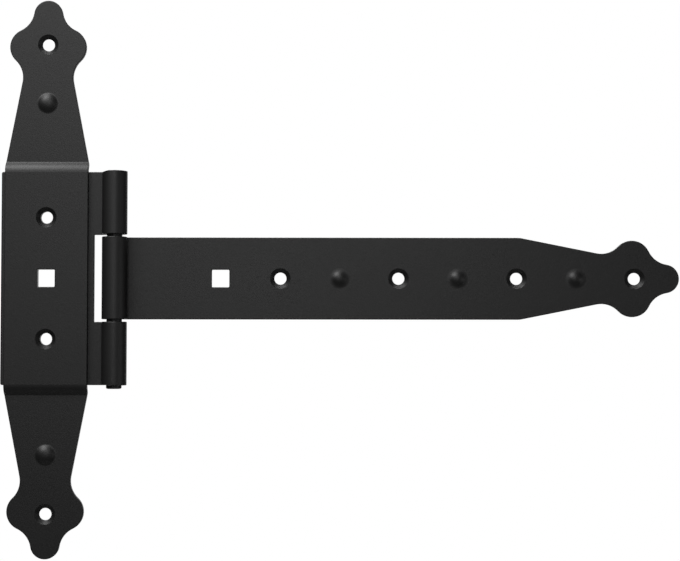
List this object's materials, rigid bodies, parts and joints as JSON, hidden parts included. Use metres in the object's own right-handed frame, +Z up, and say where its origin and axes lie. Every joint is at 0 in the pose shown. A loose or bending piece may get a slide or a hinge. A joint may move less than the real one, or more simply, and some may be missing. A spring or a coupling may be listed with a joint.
{
  "type": "tee hinge",
  "caption": "Ornamental tee hinge in black powder-coated sheet steel: a tall joggled plate and a long strap turning on a steel pin.",
  "frame": {"origin": "middle of the plate's square bolt hole, on the back plane that lies on the post", "axes": "+Z up along the pin, +X along the long strap, -Y out of the front, so the back faces look along +Y"},
  "size_m": [0.3529, 0.0131, 0.2908],
  "materials": {
    "sheet_coat": "fine textured black powder coat",
    "pin_coat": "black coated steel"
  },
  "bodies": {
    "plate": {"hinge_leaf": "sheet_coat", "cross_strap": "sheet_coat", "hinge_pin": "pin_coat"},
    "strap": {"long_strap": "sheet_coat"}
  },
  "joints": [
    {"name": "strap_hinge", "type": "hinge", "parent": "plate", "child": "strap", "pos_m": [0.0358, -0.00655, 0], "axis": [0, 0, -1], "range_deg": [-115, 185]}
  ]
}
